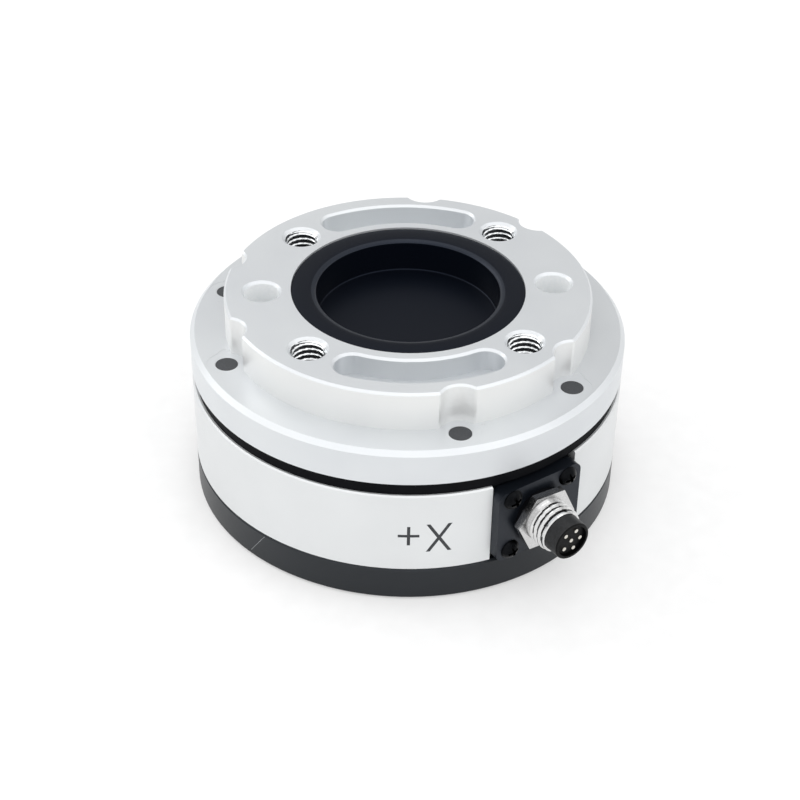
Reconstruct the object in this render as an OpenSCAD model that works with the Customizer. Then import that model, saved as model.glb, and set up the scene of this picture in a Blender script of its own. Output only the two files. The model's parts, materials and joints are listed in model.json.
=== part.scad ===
// Six-axis force torque sensor for a robot wrist.
// The robot side is the face at z = 0 and the tool side is the raised boss on top.
// +X points through the axis mark on the housing ring, and all sizes are millimetres.

/* [Stack] */
// Outer diameter of the sensor's body
body_d = 75; // [73:0.5:80]
// Thickness of the robot-side base flange
base_h = 6.4; // [6:0.1:8]
// Height of the silver housing ring
housing_h = 15.4; // [15.2:0.1:18]
// Height of the soft band between housing ring and tool flange
seal_h = 2.4; // [2:0.1:3.2]
// Height of the tool flange from its lower rim to the boss's top face
flange_h = 13.2; // [12.4:0.1:15]

/* [Tool flange] */
// Width of the ledge around the boss
ledge_w = 6.1; // [5.5:0.1:6.7]
// Height of the boss above the ledge around it
boss_h = 6.95; // [6:0.05:7.6]
// Edge break around the boss's top face
boss_chamfer = 0.4; // [0.1:0.05:0.6]
// Bevel on the corners where a scallop opens out of the boss
mouth_bevel = 0.12; // [0.05:0.01:0.2]
// Chamfer around the flange's rim
rim_chamfer = 0.8; // [0.3:0.1:1.2]
// Thickness of the flange under the boss
web_t = 11; // [10.8:0.1:11.6]
// Width of the flange's lower rim around the hollow under the boss
rim_w = 9.5; // [8.9:0.1:10.9]

/* [Mounting pattern] */
// Pitch circle of the threaded holes and pin holes, on both faces
pattern_pcd = 50; // [49:0.5:51]
// Nominal size of the four mounting threads
thread_d = 6; // [5:1:6]
// Depth of the threads in the tool flange
tool_thread_depth = 8.5; // [7:0.5:8.5]
// Depth of the threads in the base flange
base_thread_depth = 4.4; // [4:0.1:4.6]
// Diameter of the countersinks on the threads
thread_mouth_d = 6.9; // [6.4:0.1:7.6]
// Diameter of the locating pin holes
pin_d = 6; // [5:0.5:6.4]
// Depth of the pin holes in the tool flange
tool_pin_depth = 6.5; // [5:0.5:9]
// Depth of the pin hole in the base flange
base_pin_depth = 5; // [3:0.5:5.4]
// Edge break on the pin holes
pin_chamfer = 0.45; // [0.2:0.05:0.6]
// Width of the two curved pockets in the boss
pocket_w = 6; // [4:0.5:6.5]
// Angle from a pocket's middle to the centre of its round end
pocket_half_angle = 25.5; // [18:0.5:26]
// Depth of the pockets
pocket_depth = 4; // [2:0.5:5]
// Edge break around the pockets
pocket_chamfer = 0.4; // [0.2:0.05:0.6]

/* [Flange screws] */
// Distance of the six screws that hold the tool flange from the body's outline
rim_screw_in = 4.4; // [4.2:0.05:4.5]
// Half the angle between the two screws of a pair
pair_half_angle = 20; // [19.6:0.1:21]
// Diameter of the scallops that clear the screws at the boss's side
scallop_d = 6.8; // [6:0.1:7.4]
// How far a scallop's floor is spot-faced below the ledge
spot_depth = 0.05; // [0.02:0.01:0.1]
// Diameter of the plugs over the screws
plug_d = 3.7; // [3.6:0.1:4.2]
// Thickness of the plugs
plug_t = 0.8; // [0.5:0.1:1.2]
// Depth from the scallop's floor to the seat of the screw heads
rim_seat_depth = 3; // [3:0.1:3.4]

/* [Pilot cup] */
// Diameter of the pilot bore, on both faces
pilot_d = 31.5; // [30:0.25:31.5]
// Depth of the pilot cup's floor below the tool face
pilot_depth = 6.2; // [5:0.1:6.6]
// Outer diameter of the cup's rim
cup_rim_d = 40; // [38.5:0.25:40.5]
// Thickness of the cup's rim
cup_rim_t = 3; // [2.4:0.1:3.4]
// How far the rim sits below the tool face
cup_drop = 0.3; // [0.1:0.05:0.5]
// Wall of the cup around the pilot bore
cup_wall = 1.65; // [1.55:0.05:2.05]
// Thickness of the cup's floor
cup_floor_t = 1.8; // [1.4:0.1:2.4]
// Width of the rounded lip around the pilot bore
lip_w = 1.6; // [0.8:0.1:2]
// Depth of the rounded lip
lip_h = 0.6; // [0.3:0.1:0.8]
// Thickness of the cup's seal ring
cup_seal_d = 1; // [0.8:0.1:1.1]
// Depth of the pilot recess in the base flange
recess_depth = 4; // [2.5:0.1:4.4]

/* [Band and housing] */
// How far the soft band lies inside the body's outline
band_inset = 0.55; // [0.3:0.05:0.8]
// Radial width of the soft band
band_w = 1.6; // [1.3:0.05:1.7]
// Wall of the housing ring
housing_wall = 1.6; // [1.3:0.1:1.8]
// Edge break on the housing ring
housing_chamfer = 0.25; // [0.1:0.05:0.4]
// Wall of the base flange's spigot inside the housing ring
spigot_wall = 1.8; // [1.2:0.1:2]
// Height of the spigot
spigot_h = 2; // [1.2:0.1:2.2]
// Chamfer around the base flange's upper edge
base_top_chamfer = 0.35; // [0.1:0.05:0.5]
// Chamfer around the base flange's lower edge
base_low_chamfer = 0.5; // [0.2:0.1:0.8]

/* [Connector plate] */
// Direction of the connector, from +X
connector_angle = 30; // [29.5:0.1:30.5]
// Height of the connector's axis above the robot face
connector_z = 14; // [13.9:0.05:14.2]
// How far the plate's outer face stands outside the body's outline
plate_proud = 0.75; // [0.5:0.05:1.1]
// Width of the plate
plate_w = 16.7; // [16:0.1:17]
// Height of the plate
plate_h = 14; // [13.4:0.1:14.2]
// Thickness of the plate
plate_t = 2.4; // [2:0.05:2.6]
// Corner radius of the plate
plate_corner = 1.5; // [0.8:0.1:2]
// Thickness of the gasket behind the plate
gasket_t = 0.35; // [0.2:0.05:0.5]
// Distance between the plate's screws across the plate
plate_screw_x = 11.2; // [10.8:0.1:11.4]
// Distance between the plate's screws up the plate
plate_screw_z = 10.4; // [10:0.1:10.6]
// Width of the block that carries the plate
block_w = 15.2; // [14.6:0.1:15.4]
// Depth of the block
block_t = 4.1; // [3.8:0.1:4.2]

/* [Connector] */
// Outer diameter of the threaded barrel
barrel_d = 8; // [7.8:0.1:8.2]
// Length of the barrel in front of the plate
barrel_out = 6.05; // [5:0.05:7]
// Width of the thread relief in front of the panel nut
relief_w = 0.6; // [0.4:0.05:0.8]
// Depth of the thread relief
relief_depth = 0.2; // [0.1:0.05:0.3]
// Length of the contact carrier in front of the plate
carrier_out = 8.8; // [8:0.1:10]
// Wall of the barrel around the contact carrier
shell_wall = 0.55; // [0.5:0.05:0.65]
// Depth of the recess that holds the contacts
face_depth = 0.6; // [0.3:0.1:1]
// Wall of the carrier around that recess
face_wall = 0.5; // [0.3:0.1:0.6]
// Wall of the panel nut between its thread and its flats
nut_wall = 1; // [0.9:0.05:1.5]
// Thickness of the panel nut
nut_t = 1.3; // [1.1:0.1:1.8]
// Turn of the panel nut's corners
nut_turn = -4.6; // [-30:0.2:30]
// Thickness of the rubber ring under the nut
washer_t = 0.95; // [0.6:0.05:1.2]
// Radial width of the rubber ring under the nut
washer_w = 0.75; // [0.55:0.05:0.95]
// How far the shell's inner collar stands out around the barrel
collar_w = 1.2; // [0.9:0.05:1.4]
// Thickness of the shell's inner collar
collar_t = 1.4; // [1:0.1:1.8]
// Diameter of a contact
contact_d = 0.7; // [0.6:0.05:0.8]
// Radius of the ring of outer contacts
contact_ring_r = 1.8; // [1.7:0.05:1.85]

/* [Sensing element] */
// Outer radius of the hub's upright ring
hub_ring_r = 19.2; // [18.8:0.1:19.6]
// Wall of the hub's upright ring
hub_wall = 2.2; // [1.8:0.1:2.8]
// Distance from the hub's ring to the ears' screw circle
ear_screw_out = 2.8; // [2.7:0.1:2.9]
// Width of the ears outside their screw circle
ear_margin = 2.2; // [2:0.1:2.4]
// Thickness of the ears
ear_t = 4.5; // [3.5:0.1:5]
// Half the angle of an ear
ear_half_angle = 25; // [24:0.5:28]
// Height of the base flange's collar that carries the ears
collar_h = 6; // [5.8:0.1:6.4]
// How far the collar stands out beyond the ears
collar_margin = 0.2; // [0.1:0.05:0.3]
// Angle from an ear's middle to each of its screws
ear_screw_angle = 15; // [14:0.5:16]
// Width of the three elastic beams
beam_w = 6; // [4:0.2:6.4]
// Height of the beams, and of the leaves and bars at their ends
beam_h = 6; // [5:0.1:6.2]
// Gap between the beams and the flange's lower rim
beam_drop = 1.5; // [1:0.1:1.8]
// Distance from the flange screws' circle in to where a beam meets its leaf
leaf_in = 7.1; // [6.7:0.1:7.5]
// Thickness of the thin leaf at a beam's end
leaf_t = 1.2; // [0.9:0.05:1.4]
// Width of the slot behind the leaf
slot_w = 1.2; // [0.8:0.05:1.4]
// Half the angle of the slot
slot_half_angle = 12; // [8:0.5:12.5]
// Radial width of the bar behind the slot
bar_w = 2.8; // [2.4:0.1:3]
// Width of the lugs that carry the tool flange
lug_w = 5.6; // [4.6:0.1:5.8]
// Gap between the lugs and the soft band
lug_gap = 0.2; // [0.1:0.05:0.4]
// Length of a strain gauge
gauge_l = 4.2; // [3:0.1:4.4]
// Width of a strain gauge
gauge_w = 2.6; // [2:0.1:2.8]
// Thickness of a strain gauge
gauge_t = 0.15; // [0.1:0.01:0.2]

/* [Electronics] */
// Gap between the collar and the ring-shaped circuit board around it
board_inner_gap = 0.6; // [0.5:0.05:1]
// Gap between the board and the housing ring
board_outer_gap = 1.1; // [0.7:0.1:1.9]
// Thickness of the board
board_t = 1.6; // [1.2:0.1:1.6]
// Height of the standoffs under the board
standoff_h = 2.4; // [2.3:0.05:2.6]
// Width across a standoff's flats
standoff_af = 4.5; // [4:0.1:5]
// How far the standoffs and chips sit inside the board's middle circle
standoff_in = 0.1; // [0:0.1:0.5]
// Diameter of the standoffs' lower studs
stud_d = 2.36; // [2.2:0.02:2.4]
// Depth of the studs in the base flange
stud_l = 1; // [0.8:0.1:1.2]
// Diameter of the board's screws
board_screw_d = 1.7; // [1.5:0.1:1.7]
// Clearance of the board's screw holes
board_hole_gap = 0.25; // [0.1:0.05:0.4]
// Thickness of the largest chips
chip_t = 1.2; // [0.8:0.1:1.6]
// Thickness of the small upright board behind the connector
adapter_t = 1; // [0.8:0.1:1.2]
// Width of the upright board
adapter_w = 8.4; // [7.6:0.2:10]
// Height of the upright board
adapter_h = 5.9; // [5.6:0.1:6]
// Gap between the upright board and the block
adapter_gap = 0.4; // [0.2:0.1:0.8]
// Length of the contacts' tails behind the upright board
tail_out = 0.4; // [0.2:0.1:0.8]
// Depth of the strip that joins the upright board to the ring-shaped one
header_t = 1.6; // [1.2:0.1:2]
// Height of that strip
header_h = 1.2; // [0.8:0.1:2]
// How far the strip's ends lie inside the upright board's
header_inset = 0.4; // [0.1:0.1:1]
// Width of a flat gauge lead
ribbon_w = 2; // [1:0.1:2.4]
// Thickness of a flat gauge lead
ribbon_t = 0.25; // [0.15:0.05:0.4]

/* [Fits and fasteners] */
// Clearance around pieces that slide into a seat
seat_gap = 0.05; // [0.02:0.01:0.1]
// Clearance around screw shanks
shank_gap = 0.1; // [0.05:0.01:0.15]
// Clearance between a screw's thread and its hole
thread_gap = 0.01; // [0.01:0.01:0.02]
// Clearance between the plate and the housing ring
plate_gap = 0.05; // [0.05:0.05:0.2]
// Diameter of the hub's screws
hub_screw_d = 3; // [2.5:0.5:3]
// Diameter of the small screws at the rim, the plate and the board
small_screw_d = 2; // [1.6:0.2:2]
// How far the hub's screws reach into the collar
hub_screw_reach = 4.8; // [4:0.1:5]
// How far the hub's dowels reach into the collar
dowel_reach = 3.8; // [3:0.1:4.6]
// How far the plate's screws reach into the block
plate_screw_reach = 3.4; // [2.6:0.1:3.5]
// Gap under the tip of a screw or dowel
tip_gap = 0.2; // [0.1:0.05:0.3]

/* [Hidden] */
$fn = 96;

// Overlap that makes a cut pass cleanly through a face
cut = 1;

// Levels
housing_top = base_h + housing_h;
rim_z = housing_top + seal_h;
top_z = rim_z + flange_h;
ledge_z = top_z - boss_h;
floor_z = ledge_z - spot_depth;
web_z = top_z - web_t;
cup_rim_z = top_z - cup_drop;
cup_seat_z = cup_rim_z - cup_rim_t;
cup_floor_z = top_z - pilot_depth;
cup_low_z = cup_floor_z - cup_floor_t;
cup_seal_z = (cup_seat_z + cup_low_z) / 2;
beam_top = rim_z - beam_drop;
beam_low = beam_top - beam_h;
ear_z = base_h + collar_h;
board_z = base_h + standoff_h;
board_top = board_z + board_t;

// Radii
body_r = body_d / 2;
boss_r = body_r - ledge_w;
hollow_r = body_r - rim_w;
pattern_r = pattern_pcd / 2;
rim_screw_r = body_r - rim_screw_in;
pilot_r = pilot_d / 2;
cup_body_r = pilot_r + cup_wall;
housing_ri = body_r - housing_wall;
band_ro = body_r - band_inset;
band_ri = band_ro - band_w;
spigot_ro = housing_ri - seat_gap;
lug_ro = band_ri - lug_gap;
leaf_r = rim_screw_r - leaf_in;
slot_r = leaf_r + leaf_t;
bar_ri = slot_r + slot_w;
bar_ro = bar_ri + bar_w;
hub_bore_r = hub_ring_r - hub_wall;
ear_screw_r = hub_ring_r + ear_screw_out;
ear_r = ear_screw_r + ear_margin;
collar_ro = ear_r + collar_margin;
board_ri = collar_ro + board_inner_gap;
board_ro = housing_ri - board_outer_gap;
standoff_r = (board_ri + board_ro) / 2 - standoff_in;
slot_half_w = plate_w / 2 + plate_gap;

// Directions: elastic beams, ears between them, and screws beside each beam
beam_angles = [for (i = [0:2]) connector_angle + 120 * i];
ear_angles = [for (a = beam_angles) a + 60];
rim_angles = [for (a = beam_angles, s = [-1, 1]) a + s * pair_half_angle];
ear_screw_angles = [for (a = ear_angles, s = [-1, 1]) a + s * ear_screw_angle];
thread_angles = [for (i = [0:3]) 45 + 90 * i];
pin_angles = [90, 270];
pocket_angles = [0, 180];
standoff_angles = [85, 160, 220, 340];

// Connector: diameters around the barrel
carrier_d = barrel_d - 2 * (shell_wall + seat_gap);
nut_af = barrel_d + 2 * nut_wall;
washer_d = barrel_d + 2 * (seat_gap + washer_w);
collar_d = barrel_d + 2 * collar_w;

// Connector: distances from the sensor's axis along the connector's axis
plate_face = body_r + plate_proud;
gasket_face = plate_face - plate_t;
block_face = gasket_face - gasket_t;
block_back = block_face - block_t;
collar_back = block_face - collar_t;
washer_front = plate_face + washer_t;
nut_front = washer_front + nut_t;
barrel_end = plate_face + barrel_out;
carrier_end = plate_face + carrier_out;
contact_end = carrier_end - face_depth / 2;
adapter_face = block_back - adapter_gap;
adapter_back = adapter_face - adapter_t;
contact_back = adapter_back - tail_out;

// Small-screw and hub-screw proportions
small_r = small_screw_d / 2;
small_head_r = small_screw_d * 0.9;
small_head_h = small_screw_d;
pan_head_h = small_screw_d * 0.6;
hub_screw_r = hub_screw_d / 2;
hub_head_r = hub_screw_d * 0.9;
hub_head_h = hub_screw_d;
board_screw_r = board_screw_d / 2;
plug_r = plug_d / 2;

// Contacts: one in the middle and five around it, with a wide gap for the key
contact_angles = [-138, -72, -4.6, 60, 131];
contact_places = concat([[0, 0]], [for (a = contact_angles) contact_ring_r * [cos(a), sin(a)]]);

// Turns children about the sensor's axis and moves them out to a radius
module at_polar(r, a) {
    rotate([0, 0, a]) translate([r, 0, 0]) children();
}

// Lays a flat outline upright: its x runs across the plate, its y up, and z outwards
module facing_out(dist) {
    rotate([0, 0, connector_angle])
        translate([dist, 0, connector_z])
            rotate([90, 0, 90])
                children();
}

module ring(ro, ri, h) {
    difference() {
        cylinder(r = ro, h = h);
        translate([0, 0, -cut]) cylinder(r = ri, h = h + 2 * cut);
    }
}

// Sector of a ring, centred on direction a
module arc_block(ri, ro, h, a, half_angle) {
    rotate([0, 0, a - half_angle])
        rotate_extrude(angle = 2 * half_angle)
            translate([ri, 0]) square([ro - ri, h]);
}

// Hole from the top face down, with an edge break at its mouth
module mouthed_hole(r, depth, chamfer) {
    translate([0, 0, -depth]) cylinder(r = r, h = depth + cut);
    translate([0, 0, -chamfer])
        cylinder(r1 = r, r2 = r + chamfer + cut, h = chamfer + cut);
}

// Blind tapped hole from the top face down: wall at the nominal size, drill point below
module tapped_hole(depth, mouth_d) {
    r = thread_d / 2;
    mouthed_hole(r, depth, (mouth_d - thread_d) / 2);
    translate([0, 0, -depth - r / 2]) cylinder(r1 = 0, r2 = r, h = r / 2);
}

// Socket head screw with its head's seat at z = 0 and its shank below
module socket_screw(r, head_r, head_h, length) {
    difference() {
        union() {
            cylinder(r = head_r, h = head_h * 0.9);
            translate([0, 0, head_h * 0.9])
                cylinder(r1 = head_r, r2 = head_r - head_h * 0.1, h = head_h * 0.1);
            translate([0, 0, -length]) cylinder(r = r, h = length + head_h / 2);
        }
        translate([0, 0, head_h * 0.45]) cylinder(r = head_r * 0.5, h = head_h, $fn = 6);
    }
}

// Pan head screw with a cross recess, seat at z = 0 and shank below
module pan_screw(r, head_r, head_h, length) {
    dome_r = (head_r * head_r + head_h * head_h) / (2 * head_h);
    difference() {
        union() {
            intersection() {
                translate([0, 0, head_h - dome_r]) sphere(r = dome_r);
                cylinder(r = head_r * 0.97, h = head_h);
            }
            translate([0, 0, -length]) cylinder(r = r, h = length + head_h / 4);
        }
        for (a = [0, 90])
            rotate([0, 0, a])
                translate([-head_r * 0.55, -head_r * 0.14, head_h * 0.45])
                    cube([head_r * 1.1, head_r * 0.28, head_h]);
    }
}

// One curved pocket, centred on direction a, as a tool that cuts down from z = 0
module pocket_cutter(a) {
    ri = pattern_r - pocket_w / 2;
    ro = pattern_r + pocket_w / 2;
    c = pocket_chamfer;
    rotate([0, 0, a - pocket_half_angle])
        rotate_extrude(angle = 2 * pocket_half_angle)
            polygon([
                [ri, -pocket_depth], [ro, -pocket_depth], [ro, -c],
                [ro + c + cut, cut], [ri - c - cut, cut], [ri, -c]
            ]);
    for (s = [-1, 1])
        at_polar(pattern_r, a + s * pocket_half_angle)
            mouthed_hole(pocket_w / 2, pocket_depth, c);
}

// Scallop in the boss's side over a rim screw, with its edge break, down to the ledge
module scallop_cutter() {
    r = scallop_d / 2;
    c = boss_chamfer * 0.85;
    translate([0, 0, floor_z]) cylinder(r = r, h = boss_h + cut);
    translate([0, 0, top_z - c]) cylinder(r1 = r, r2 = r + c + cut, h = c + cut);
    // The two corners of the mouth, seen from the scallop's centre
    a = acos((pow(rim_screw_r, 2) + pow(boss_r, 2) - r * r) / (2 * rim_screw_r * boss_r));
    x = boss_r * cos(a) - rim_screw_r;
    y = boss_r * sin(a);
    turn = (a + atan2(y, x)) / 2 - 90;
    for (s = [-1, 1])
        translate([x, s * y, floor_z])
            rotate([0, 0, s * turn])
                translate([-mouth_bevel, -r / 2, 0]) cube([r / 2, r, boss_h + cut]);
}

// Seat for a rim screw's head and its plug, and the hole for its shank
module rim_screw_hole() {
    seat = floor_z - rim_seat_depth;
    translate([0, 0, seat]) cylinder(r = plug_r + seat_gap, h = rim_seat_depth + cut);
    translate([0, 0, rim_z - cut]) cylinder(r = small_r + shank_gap, h = seat - rim_z + 1.5 * cut);
}

// Tool side of the sensor: raised boss, ledge and chamfered rim, hollow underneath
module tool_flange() {
    cup_r = cup_body_r + seat_gap;
    color("#d6dadb")
    difference() {
        rotate_extrude()
            polygon([
                [cup_r, web_z], [hollow_r, web_z], [hollow_r, rim_z], [body_r, rim_z],
                [body_r, ledge_z - rim_chamfer], [body_r - rim_chamfer, ledge_z],
                [boss_r, ledge_z], [boss_r, top_z - boss_chamfer], [boss_r - boss_chamfer, top_z],
                [cup_rim_d / 2 + seat_gap, top_z], [cup_rim_d / 2 + seat_gap, cup_seat_z],
                [cup_r, cup_seat_z]
            ]);
        for (a = rim_angles) at_polar(rim_screw_r, a) {
            scallop_cutter();
            rim_screw_hole();
        }
        translate([0, 0, top_z]) {
            for (a = thread_angles)
                at_polar(pattern_r, a) tapped_hole(tool_thread_depth, thread_mouth_d);
            for (a = pin_angles)
                at_polar(pattern_r, a) mouthed_hole(pin_d / 2, tool_pin_depth, pin_chamfer);
            for (a = pocket_angles) pocket_cutter(a);
        }
    }
}

module hole_plugs() {
    color("#4f5356")
    for (a = rim_angles)
        at_polar(rim_screw_r, a)
            translate([0, 0, floor_z - plug_t]) cylinder(r = plug_r, h = plug_t);
}

module flange_screws() {
    seat = floor_z - rim_seat_depth;
    color("#8d9094")
    for (a = rim_angles)
        at_polar(rim_screw_r, a)
            translate([0, 0, seat])
                socket_screw(small_r, small_head_r, small_head_h, seat - beam_low - 1);
}

// Black cup that forms the pilot bore, with a rounded lip and a seal groove
module pilot_cup() {
    groove = cup_body_r - cup_seal_d;
    color("#1d1f22")
    rotate_extrude() {
        difference() {
            polygon([
                [0, cup_low_z], [cup_body_r, cup_low_z], [cup_body_r, cup_seat_z],
                [cup_rim_d / 2, cup_seat_z], [cup_rim_d / 2, cup_rim_z],
                [pilot_r + lip_w, cup_rim_z],
                [pilot_r + lip_w * 0.5, cup_rim_z - lip_h * 0.14],
                [pilot_r + lip_w * 0.13, cup_rim_z - lip_h * 0.5],
                [pilot_r, cup_rim_z - lip_h], [pilot_r, cup_floor_z], [0, cup_floor_z]
            ]);
            translate([groove, cup_seal_z - cup_seal_d * 0.6])
                square([cup_seal_d + cut, cup_seal_d * 1.2]);
        }
    }
}

module cup_seal() {
    color("#101113")
    translate([0, 0, cup_seal_z])
        rotate_extrude()
            translate([cup_body_r - cup_seal_d / 2, 0]) circle(d = cup_seal_d, $fn = 32);
}

// Soft ring between the housing ring and the tool flange
module seal_band() {
    color("#17191b")
    translate([0, 0, housing_top]) ring(band_ro, band_ri, seal_h);
}

// Silver sleeve, open over its full height where the connector block comes through
module housing_ring() {
    c = housing_chamfer;
    color("#dcdddb")
    difference() {
        rotate_extrude()
            polygon([
                [housing_ri, base_h], [body_r - c, base_h], [body_r, base_h + c],
                [body_r, housing_top - c], [body_r - c, housing_top], [housing_ri, housing_top]
            ]);
        rotate([0, 0, connector_angle])
            translate([0, -slot_half_w, base_h - cut])
                cube([body_r + cut, 2 * slot_half_w, housing_h + 2 * cut]);
    }
}

// Low ring that centres the housing, open where the connector's block stands
module spigot() {
    root = 0.5;
    difference() {
        translate([0, 0, base_h - root]) ring(spigot_ro, spigot_ro - spigot_wall, spigot_h + root);
        rotate([0, 0, connector_angle])
            translate([0, -slot_half_w, base_h - root - cut])
                cube([body_r, 2 * slot_half_w, spigot_h + root + 2 * cut]);
    }
}

// Robot side of the sensor: thick flange, collar for the hub and block for the connector
module base_flange() {
    hub_screw_hole = hub_screw_reach + 2 * tip_gap;
    dowel_hole = dowel_reach + tip_gap;
    plate_screw_hole = plate_screw_reach + tip_gap;
    color("#3a3d41")
    difference() {
        union() {
            rotate_extrude()
                polygon([
                    [0, 0], [body_r - base_low_chamfer, 0], [body_r, base_low_chamfer],
                    [body_r, base_h - base_top_chamfer], [body_r - base_top_chamfer, base_h],
                    [collar_ro, base_h], [collar_ro, ear_z], [hub_bore_r, ear_z],
                    [hub_bore_r, base_h], [0, base_h]
                ]);
            spigot();
            rotate([0, 0, connector_angle])
                translate([block_back, -block_w / 2, base_h / 2])
                    cube([block_t, block_w, housing_top - base_h / 2]);
        }
        facing_out(block_back - cut) cylinder(d = barrel_d + 2 * shank_gap, h = block_t + 2 * cut);
        facing_out(collar_back) cylinder(d = collar_d + 2 * seat_gap, h = collar_t + cut);
        plate_screw_holes(block_face - plate_screw_hole, small_r + thread_gap, plate_screw_hole + cut);
        for (a = ear_screw_angles)
            at_polar(ear_screw_r, a)
                translate([0, 0, ear_z - hub_screw_hole])
                    cylinder(r = hub_screw_r + thread_gap, h = hub_screw_hole + cut);
        for (a = ear_angles)
            at_polar(ear_screw_r, a)
                translate([0, 0, ear_z - dowel_hole])
                    cylinder(r = hub_screw_r + thread_gap, h = dowel_hole + cut);
        for (a = standoff_angles)
            at_polar(standoff_r, a)
                translate([0, 0, base_h - stud_l - tip_gap])
                    cylinder(r = stud_d / 2 + 2 * thread_gap, h = stud_l + tip_gap + cut);
        mirror([0, 0, 1]) {
            for (a = thread_angles)
                at_polar(pattern_r, a) tapped_hole(base_thread_depth, thread_mouth_d);
            at_polar(pattern_r, pin_angles[0]) mouthed_hole(pin_d / 2, base_pin_depth, pin_chamfer);
            mouthed_hole(pilot_r, recess_depth, pin_chamfer);
        }
    }
}

// Flat sector of a ring, centred on direction a
module sector(ri, ro, a, half_angle) {
    x = 2 * ro * cos(half_angle);
    y = 2 * ro * sin(half_angle);
    intersection() {
        difference() {
            circle(r = ro);
            circle(r = ri);
        }
        rotate([0, 0, a]) polygon([[0, 0], [x, -y], [x, y]]);
    }
}

// Plan of one beam with the thin leaf, slot and bar at its end and the two lugs on the bar
module flexure_outline(a) {
    leaf_half_angle = slot_half_angle + 2.5;
    bar_half_angle = pair_half_angle + 6;
    difference() {
        union() {
            rotate([0, 0, a])
                translate([hub_ring_r - 0.8, -beam_w / 2]) square([slot_r - hub_ring_r + 0.4, beam_w]);
            sector(leaf_r, bar_ro, a, bar_half_angle);
            for (s = [-1, 1])
                intersection() {
                    rotate([0, 0, a + s * pair_half_angle])
                        translate([bar_ri + 0.4, -lug_w / 2]) square([lug_ro, lug_w]);
                    circle(r = lug_ro);
                }
        }
        sector(slot_r, bar_ri, a, slot_half_angle);
        for (s = [-1, 1])
            sector(leaf_r - cut, bar_ri, a + s * (leaf_half_angle + bar_half_angle) / 2 + s, 7);
    }
}

// Monolithic elastic body: hub with screw ears, three beams, and lugs with raised seats
module sensing_element() {
    hub_relief = 0.3;
    hub_top = beam_top + 0.5;
    seat_r = small_screw_d;
    color("#b9bcbe")
    difference() {
        union() {
            translate([0, 0, ear_z + hub_relief])
                ring(hub_ring_r, hub_bore_r, hub_top - ear_z - hub_relief);
            for (a = ear_angles)
                translate([0, 0, ear_z]) arc_block(hub_bore_r + 1, ear_r, ear_t, a, ear_half_angle);
            for (a = beam_angles)
                translate([0, 0, beam_low]) linear_extrude(height = beam_h) flexure_outline(a);
            for (a = rim_angles)
                at_polar(rim_screw_r, a)
                    translate([0, 0, beam_top - cut]) cylinder(r = seat_r, h = rim_z - beam_top + cut);
        }
        for (a = rim_angles)
            at_polar(rim_screw_r, a)
                translate([0, 0, beam_low - cut])
                    cylinder(r = small_r + thread_gap, h = rim_z - beam_low + 2 * cut);
        for (a = ear_screw_angles)
            at_polar(ear_screw_r, a)
                translate([0, 0, ear_z - cut]) cylinder(r = hub_screw_r + shank_gap, h = ear_t + 2 * cut);
        for (a = ear_angles)
            at_polar(ear_screw_r, a)
                translate([0, 0, ear_z - cut]) cylinder(r = hub_screw_r + thread_gap, h = ear_t + 2 * cut);
    }
}

// Foil gauges on the two sides, the top and the underside of each beam
module strain_gauges() {
    mid_r = (hub_ring_r + leaf_r) / 2;
    mid_z = (beam_low + beam_top) / 2;
    color("#c98a3c")
    for (a = beam_angles) at_polar(mid_r, a) {
        for (s = [-1, 1])
            translate([0, s * (beam_w + gauge_t) / 2, mid_z])
                cube([gauge_l, gauge_t, gauge_w], center = true);
        for (z = [beam_top + gauge_t / 2, beam_low - gauge_t / 2])
            translate([0, 0, z]) cube([gauge_l, gauge_w, gauge_t], center = true);
    }
}

// Flat leads that run from the underside of each leaf down to the board
module gauge_leads() {
    color("#b5651d")
    for (a = beam_angles)
        rotate([0, 0, a])
            translate([leaf_r + leaf_t / 2 - ribbon_t / 2, beam_w / 2 + 0.6, board_top])
                cube([ribbon_t, ribbon_w, beam_low - board_top]);
}

module hub_screws() {
    color("#2b2c2e")
    for (a = ear_screw_angles)
        at_polar(ear_screw_r, a)
            translate([0, 0, ear_z + ear_t])
                socket_screw(hub_screw_r, hub_head_r, hub_head_h, ear_t + hub_screw_reach);
}

module hub_dowels() {
    color("#c8cacc")
    for (a = ear_angles)
        at_polar(ear_screw_r, a)
            translate([0, 0, ear_z - dowel_reach])
                cylinder(r = hub_screw_r, h = ear_t + dowel_reach - tip_gap);
}

// Ring-shaped board with a notch for the connector block
module circuit_board() {
    color("#1f6b3d")
    difference() {
        translate([0, 0, board_z]) ring(board_ro, board_ri, board_t);
        rotate([0, 0, connector_angle])
            translate([block_back - 0.3, -block_w / 2 - 0.5, board_z - cut])
                cube([board_ro, block_w + 1, board_t + 2 * cut]);
        for (a = standoff_angles)
            at_polar(standoff_r, a)
                translate([0, 0, board_z - cut])
                    cylinder(r = board_screw_r + board_hole_gap, h = board_t + 2 * cut);
    }
}

// Chips on the board: direction, length along the ring, width and height
module board_chips() {
    chips = [
        [105, 7, 7, chip_t], [125, 4, 5, 0.9], [180, 6, 5, chip_t], [200, 3, 2, 0.7],
        [242, 5, 4, 0.9], [262, 3, 3, 0.8], [291, 7, 5, chip_t], [309, 4, 4, 0.9], [323, 3, 2, 0.7]
    ];
    color("#202225")
    for (c = chips)
        at_polar(standoff_r, c[0])
            translate([-c[2] / 2, -c[1] / 2, board_top]) cube([c[2], c[1], c[3]]);
}

module board_standoffs() {
    color("#cfae62")
    for (a = standoff_angles)
        at_polar(standoff_r, a)
            difference() {
                union() {
                    translate([0, 0, base_h])
                        cylinder(d = standoff_af / cos(30), h = standoff_h, $fn = 6);
                    translate([0, 0, base_h - stud_l])
                        cylinder(d = stud_d, h = stud_l + standoff_h / 2);
                }
                translate([0, 0, base_h + tip_gap])
                    cylinder(r = board_screw_r + thread_gap, h = standoff_h + cut);
            }
}

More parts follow.
